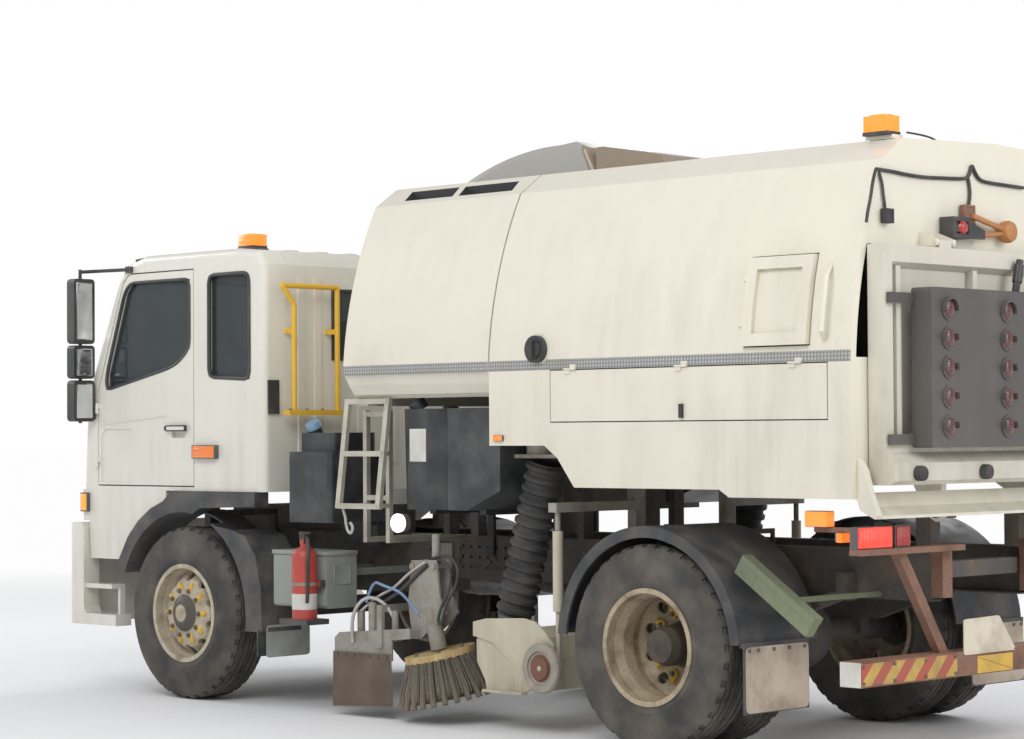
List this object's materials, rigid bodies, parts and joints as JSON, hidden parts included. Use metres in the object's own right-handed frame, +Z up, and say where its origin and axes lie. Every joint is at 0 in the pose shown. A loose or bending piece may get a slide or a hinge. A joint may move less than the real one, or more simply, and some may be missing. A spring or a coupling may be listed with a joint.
{
  "type": "street sweeper truck",
  "caption": "Cab-over truck with a tipping dust hopper, an engine pod, suction nozzles and channel brushes under its sides, and a rear door with a warning lamp board.",
  "frame": {"origin": "on the ground under the middle of the truck's length and width", "axes": "+X to the truck's front, +Y to its left, +Z up"},
  "size_m": [6.515, 2.64, 3.2449],
  "materials": {
    "white_paint": "gloss paint, light dirt",
    "black_box": "satin dark paint",
    "chassis_paint": "satin chassis paint, dusty",
    "cast_metal": "cast, oily",
    "dark_plastic": "grained black plastic",
    "grey_plastic": "grained interior plastic",
    "glass": "tinted glass",
    "amber_plastic": "clear amber lens",
    "grey_paint": "satin grey paint",
    "tank_metal": "brushed, dull",
    "red_paint": "gloss paint",
    "ladder_metal": "dull",
    "yellow_paint": "gloss paint",
    "tail_paint": "dusty red-brown paint",
    "hose_rubber": "ribbed rubber",
    "bare_steel": "worn grey paint",
    "wheel_rubber": "worn grey rubber",
    "bristle": "dusty bristle",
    "tyre": "rubber, dusty",
    "rim_paint": "dusty wheel paint"
  },
  "bodies": {
    "truck": {"battery_box": "grey_paint", "broom": "bristle", "cab_glass": "glass", "cab_interior": "grey_plastic", "cab_shell": "white_paint", "cab_trim": "dark_plastic", "chassis_frame": "chassis_paint", "engine_pod": "white_paint", "engines": "cast_metal", "fire_extinguisher": "red_paint", "frame_stands": "chassis_paint", "front_axle": "chassis_paint", "front_bumper": "white_paint", "front_mudguards": "dark_plastic", "fuel_tank": "tank_metal", "grab_rail": "yellow_paint", "ladder": "ladder_metal", "lamps": "amber_plastic", "mirrors": "dark_plastic", "pod_engine": "cast_metal", "rear_axle": "chassis_paint", "rear_bumper": "tail_paint", "rear_mudguards": "dark_plastic", "suction_hose_left": "hose_rubber", "suction_hose_right": "hose_rubber", "sweep_frame": "bare_steel", "urea_tank": "dark_plastic", "water_tanks": "dark_plastic"},
    "cab_door_left": {"cab_door_left": "white_paint", "door_glass_left": "glass"},
    "cab_door_right": {"cab_door_right": "white_paint", "door_glass_right": "glass"},
    "hopper": {"hopper_shell": "white_paint", "hopper_beacons": "amber_plastic", "hopper_fittings": "dark_plastic"},
    "rear_door": {"rear_door": "white_paint", "lamp_board": "black_box"},
    "hatch": {"hatch_left": "white_paint"},
    "knuckle_left": {"knuckle_left": "cast_metal"},
    "front_wheel_left": {"front_tyre_left": "tyre", "front_rim_left": "rim_paint"},
    "rear_wheels_left": {"rear_tyres_left": "tyre", "rear_rims_left": "rim_paint"},
    "locker_door_left": {"locker_door_left": "white_paint"},
    "brush_arm_left": {"brush_arm_left": "bare_steel"},
    "channel_brush_left": {"channel_brush_left": "bristle"},
    "nozzle_left": {"nozzle_left": "bare_steel"},
    "jockey_wheel_left": {"jockey_wheel_left": "wheel_rubber"},
    "knuckle_right": {"knuckle_right": "cast_metal"},
    "front_wheel_right": {"front_tyre_right": "tyre", "front_rim_right": "rim_paint"},
    "rear_wheels_right": {"rear_tyres_right": "tyre", "rear_rims_right": "rim_paint"},
    "locker_door_right": {"locker_door_right": "white_paint"},
    "brush_arm_right": {"brush_arm_right": "bare_steel"},
    "channel_brush_right": {"channel_brush_right": "bristle"},
    "nozzle_right": {"nozzle_right": "bare_steel"},
    "jockey_wheel_right": {"jockey_wheel_right": "wheel_rubber"}
  },
  "joints": [
    {"name": "steer_left", "type": "hinge", "parent": "truck", "child": "knuckle_left", "pos_m": [2.1075, 0.885, 0.52], "axis": [0, 0, 1], "range_deg": [-32, 32]},
    {"name": "steer_right", "type": "hinge", "parent": "truck", "child": "knuckle_right", "pos_m": [2.1075, -0.885, 0.52], "axis": [0, 0, 1], "range_deg": [-32, 32]},
    {"name": "front_wheel_spin_left", "type": "hinge", "parent": "knuckle_left", "child": "front_wheel_left", "pos_m": [2.1075, 1.02, 0.52], "axis": [0, 1, 0], "continuous": true},
    {"name": "rear_wheel_spin_left", "type": "hinge", "parent": "truck", "child": "rear_wheels_left", "pos_m": [-1.7125, 1.078, 0.52], "axis": [0, 1, 0], "continuous": true},
    {"name": "cab_door_left", "type": "hinge", "parent": "truck", "child": "cab_door_left", "pos_m": [2.9785, 1.151, 1.6], "axis": [0, 0, -1], "range_deg": [0, 70]},
    {"name": "locker_door_left", "type": "hinge", "parent": "hopper", "child": "locker_door_left", "pos_m": [-1.7125, 1.208, 1.931], "axis": [1, 0, 0], "range_deg": [0, 95]},
    {"name": "brush_swing_left", "type": "hinge", "parent": "truck", "child": "brush_arm_left", "pos_m": [0.5475, 0.545, 0.65], "axis": [0, 0, -1], "range_deg": [0, 20]},
    {"name": "channel_brush_spin_left", "type": "hinge", "parent": "brush_arm_left", "child": "channel_brush_left", "pos_m": [0.0275, 0.985, 0.4], "axis": [0.147, 0.147, 0.9781], "continuous": true},
    {"name": "nozzle_lift_left", "type": "slide", "parent": "truck", "child": "nozzle_left", "axis": [0, 0, -1], "range_m": [0, 0.22], "deforming": ["suction_hose_left"]},
    {"name": "jockey_wheel_spin_left", "type": "hinge", "parent": "nozzle_left", "child": "jockey_wheel_left", "pos_m": [-0.8675, 1.09, 0.358], "axis": [0, 1, 0], "continuous": true},
    {"name": "front_wheel_spin_right", "type": "hinge", "parent": "knuckle_right", "child": "front_wheel_right", "pos_m": [2.1075, -1.02, 0.52], "axis": [0, 1, 0], "continuous": true},
    {"name": "rear_wheel_spin_right", "type": "hinge", "parent": "truck", "child": "rear_wheels_right", "pos_m": [-1.7125, -1.078, 0.52], "axis": [0, 1, 0], "continuous": true},
    {"name": "cab_door_right", "type": "hinge", "parent": "truck", "child": "cab_door_right", "pos_m": [2.9785, -1.151, 1.6], "axis": [0, 0, 1], "range_deg": [0, 70]},
    {"name": "locker_door_right", "type": "hinge", "parent": "hopper", "child": "locker_door_right", "pos_m": [-1.7125, -1.208, 1.931], "axis": [-1, 0, 0], "range_deg": [0, 95]},
    {"name": "brush_swing_right", "type": "hinge", "parent": "truck", "child": "brush_arm_right", "pos_m": [0.5475, -0.545, 0.65], "axis": [0, 0, 1], "range_deg": [0, 20]},
    {"name": "channel_brush_spin_right", "type": "hinge", "parent": "brush_arm_right", "child": "channel_brush_right", "pos_m": [0.0275, -0.985, 0.4], "axis": [0.147, -0.147, 0.9781], "continuous": true},
    {"name": "nozzle_lift_right", "type": "slide", "parent": "truck", "child": "nozzle_right", "axis": [0, 0, -1], "range_m": [0, 0.22], "deforming": ["suction_hose_right"]},
    {"name": "jockey_wheel_spin_right", "type": "hinge", "parent": "nozzle_right", "child": "jockey_wheel_right", "pos_m": [-0.8675, -1.09, 0.358], "axis": [0, 1, 0], "continuous": true},
    {"name": "hopper_tip", "type": "hinge", "parent": "truck", "child": "hopper", "pos_m": [-2.9625, 0, 1.2], "axis": [0, -1, 0], "range_deg": [0, 50]},
    {"name": "rear_door", "type": "hinge", "parent": "hopper", "child": "rear_door", "pos_m": [-3.0875, 0, 2.512], "axis": [0, 1, 0], "range_deg": [0, 85]},
    {"name": "hatch", "type": "hinge", "parent": "hopper", "child": "hatch", "pos_m": [-2.3435, 1.1995, 2.1], "axis": [0, 0.1758, -0.9844], "range_deg": [0, 100]}
  ],
  "couplings": [
    {"joint": "steer_right", "follows": "steer_left", "ratio": 1}
  ]
}
